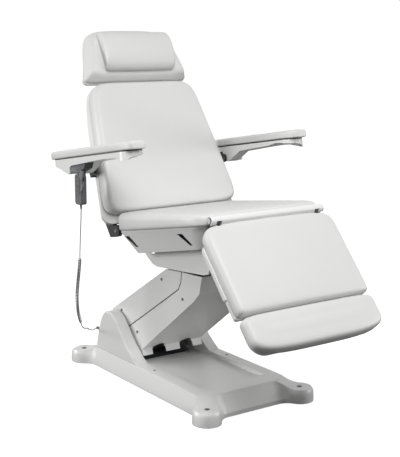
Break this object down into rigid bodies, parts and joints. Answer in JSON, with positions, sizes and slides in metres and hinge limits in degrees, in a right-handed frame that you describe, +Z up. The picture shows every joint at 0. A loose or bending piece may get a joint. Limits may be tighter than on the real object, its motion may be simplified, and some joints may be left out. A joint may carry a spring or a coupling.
{
  "type": "podiatry chair",
  "caption": "Podiatry treatment chair: padded seat, reclining backrest with winged headrest, raising legrest with sliding foot pad, swing-up armrests, arm lift on a floor base, wired control.",
  "frame": {"origin": "on the floor, in the middle of the rectangle of the four levelling feet", "axes": "+Z up; +Y towards the back of the chair, so the sitter faces -Y; +X towards the sitter's left, and the hand control hangs on the -X side"},
  "size_m": [0.88, 1.4272, 1.4729],
  "materials": {
    "leatherette": "soft satin, smooth upholstery",
    "white_shell": "satin moulded",
    "grey_plastic": "fine texture",
    "key_plastic": "smooth",
    "black_plastic": "satin",
    "cord_sheath": "satin sheath",
    "bright_steel": "ground",
    "painted_steel": "powder coat",
    "plywood": "raw"
  },
  "bodies": {
    "base": {"base_frame": "painted_steel", "base_cover": "white_shell", "right_cheek": "white_shell", "left_cheek": "white_shell", "rear_panel": "white_shell", "levelling_feet": "painted_steel", "foot_caps": "grey_plastic", "lift_shafts": "bright_steel", "control_box": "grey_plastic", "mains_inlet": "black_plastic", "cord_gland": "cord_sheath", "cord_lower_lead": "cord_sheath"},
    "lift_arm": {"lift_arm": "painted_steel", "arm_cover_upper": "white_shell", "arm_cover_lower": "white_shell", "arm_cover_screws": "grey_plastic"},
    "lift_link": {"lift_link": "painted_steel"},
    "lift_actuator": {"lift_actuator": "painted_steel"},
    "lift_rod": {"lift_rod": "bright_steel"},
    "carriage": {"carriage_frame": "painted_steel", "lower_tub": "white_shell", "tilt_actuator": "painted_steel"},
    "tilt_rod": {"tilt_rod": "bright_steel"},
    "seat": {"seat_frame": "painted_steel", "upper_tub": "white_shell", "seat_board": "plywood", "seat_pad": "leatherette", "hinge_bar": "bright_steel", "back_actuator": "painted_steel", "leg_actuator": "painted_steel"},
    "back_rod": {"back_rod": "bright_steel"},
    "leg_rod": {"leg_rod": "bright_steel"},
    "backrest": {"backrest_frame": "painted_steel", "backrest_shell": "white_shell", "backrest_pad": "leatherette", "hinge_brackets": "black_plastic", "armrest_pivots": "black_plastic"},
    "headrest_carrier": {"headrest_posts": "bright_steel"},
    "headrest": {"headrest_board": "white_shell", "headrest_pad": "leatherette", "neck_pillow": "leatherette"},
    "headrest_lever": {"headrest_lever": "black_plastic"},
    "legrest": {"legrest_frame": "painted_steel", "legrest_board": "white_shell", "legrest_pad": "leatherette"},
    "footrest": {"footrest_slide": "white_shell", "footrest_pad": "leatherette"},
    "right_armrest": {"right_armrest_shell": "white_shell", "right_armrest_pad": "leatherette", "handset_holder": "grey_plastic", "handset_body": "grey_plastic", "cord_strain_relief": "cord_sheath", "cord_upper_lead": "cord_sheath", "cord_coil": "cord_sheath"},
    "left_armrest": {"left_armrest_shell": "white_shell", "left_armrest_pad": "leatherette"},
    "height_key": {"height_key": "key_plastic"},
    "tilt_key": {"tilt_key": "key_plastic"},
    "back_key": {"back_key": "key_plastic"},
    "leg_key": {"leg_key": "key_plastic"}
  },
  "joints": [
    {"name": "lift", "type": "hinge", "parent": "base", "child": "lift_arm", "pos_m": [0, 0.235, 0.165], "axis": [1, 0, 0], "range_deg": [-22, 12]},
    {"name": "link_swing", "type": "hinge", "parent": "base", "child": "lift_link", "pos_m": [0, 0.275, 0.235], "axis": [1, 0, 0], "range_deg": [-22.05, 12.05]},
    {"name": "carriage_level", "type": "hinge", "parent": "lift_arm", "child": "carriage", "pos_m": [0, -0.24, 0.52], "axis": [1, 0, 0], "range_deg": [-12.05, 22.05]},
    {"name": "actuator_swing", "type": "hinge", "parent": "base", "child": "lift_actuator", "pos_m": [0, 0.235, 0.165], "axis": [1, 0, 0], "range_deg": [-21.1, 11.53]},
    {"name": "lift_drive", "type": "slide", "parent": "lift_actuator", "child": "lift_rod", "axis": [0, -0.7153, 0.6988], "range_m": [-0.01585, 0.02897]},
    {"name": "seat_tilt", "type": "hinge", "parent": "carriage", "child": "seat", "pos_m": [0, -0.255, 0.625], "axis": [1, 0, 0], "range_deg": [-1.3, 10.3]},
    {"name": "tilt_drive", "type": "slide", "parent": "carriage", "child": "tilt_rod", "axis": [0, 0, 1], "range_m": [-0.0243, 0.00315]},
    {"name": "back_recline", "type": "hinge", "parent": "seat", "child": "backrest", "pos_m": [0, 0.08971, 0.66501], "axis": [-1, 0, 0], "range_deg": [0, 73]},
    {"name": "back_drive", "type": "slide", "parent": "seat", "child": "back_rod", "axis": [0, -0.9839, 0.1788], "range_m": [-0.0001, 0.05482]},
    {"name": "legrest_raise", "type": "hinge", "parent": "seat", "child": "legrest", "pos_m": [0, -0.54597, 0.7968], "axis": [1, 0, 0], "range_deg": [-59.3, 15]},
    {"name": "leg_drive", "type": "slide", "parent": "seat", "child": "leg_rod", "axis": [0, -0.9839, 0.1788], "range_m": [-0.01376, 0.05408]},
    {"name": "footrest_extend", "type": "slide", "parent": "legrest", "child": "footrest", "axis": [0, -0.6561, -0.7547], "range_m": [0, 0.08]},
    {"name": "headrest_height", "type": "slide", "parent": "backrest", "child": "headrest_carrier", "axis": [0, 0.454, 0.891], "range_m": [0, 0.06]},
    {"name": "headrest_tilt", "type": "hinge", "parent": "headrest_carrier", "child": "headrest", "pos_m": [0, 0.42354, 1.28054], "axis": [-1, 0, 0], "range_deg": [-3, 25]},
    {"name": "headrest_clamp", "type": "hinge", "parent": "backrest", "child": "headrest_lever", "pos_m": [0, 0.37814, 1.19144], "axis": [1, 0, 0], "range_deg": [0, 60]},
    {"name": "right_armrest_swing", "type": "hinge", "parent": "backrest", "child": "right_armrest", "pos_m": [0, 0.18999, 0.9147], "axis": [-1, 0, 0], "range_deg": [0, 90]},
    {"name": "left_armrest_swing", "type": "hinge", "parent": "backrest", "child": "left_armrest", "pos_m": [0, 0.18999, 0.9147], "axis": [-1, 0, 0], "range_deg": [0, 90]},
    {"name": "height_key_press", "type": "hinge", "parent": "right_armrest", "child": "height_key", "pos_m": [-0.431, 0.132, 0.888], "axis": [0, 1, 0], "range_deg": [-4, 4], "stiffness_Nm_per_rad": 0.5},
    {"name": "tilt_key_press", "type": "hinge", "parent": "right_armrest", "child": "tilt_key", "pos_m": [-0.431, 0.132, 0.869], "axis": [0, 1, 0], "range_deg": [-4, 4], "stiffness_Nm_per_rad": 0.5},
    {"name": "back_key_press", "type": "hinge", "parent": "right_armrest", "child": "back_key", "pos_m": [-0.431, 0.132, 0.85], "axis": [0, 1, 0], "range_deg": [-4, 4], "stiffness_Nm_per_rad": 0.5},
    {"name": "leg_key_press", "type": "hinge", "parent": "right_armrest", "child": "leg_key", "pos_m": [-0.431, 0.132, 0.831], "axis": [0, 1, 0], "range_deg": [-4, 4], "stiffness_Nm_per_rad": 0.5}
  ],
  "couplings": [
    {"joint": "link_swing", "follows": "lift", "ratio": 1},
    {"joint": "carriage_level", "follows": "lift", "ratio": -1},
    {"joint": "actuator_swing", "follows": "lift", "ratio": 0.957},
    {"joint": "lift_drive", "follows": "lift", "m_per_rad": -0.07518},
    {"joint": "tilt_drive", "follows": "seat_tilt", "m_per_rad": -0.1346},
    {"joint": "back_drive", "follows": "back_recline", "m_per_rad": 0.04295},
    {"joint": "leg_drive", "follows": "legrest_raise", "m_per_rad": -0.05216}
  ]
}
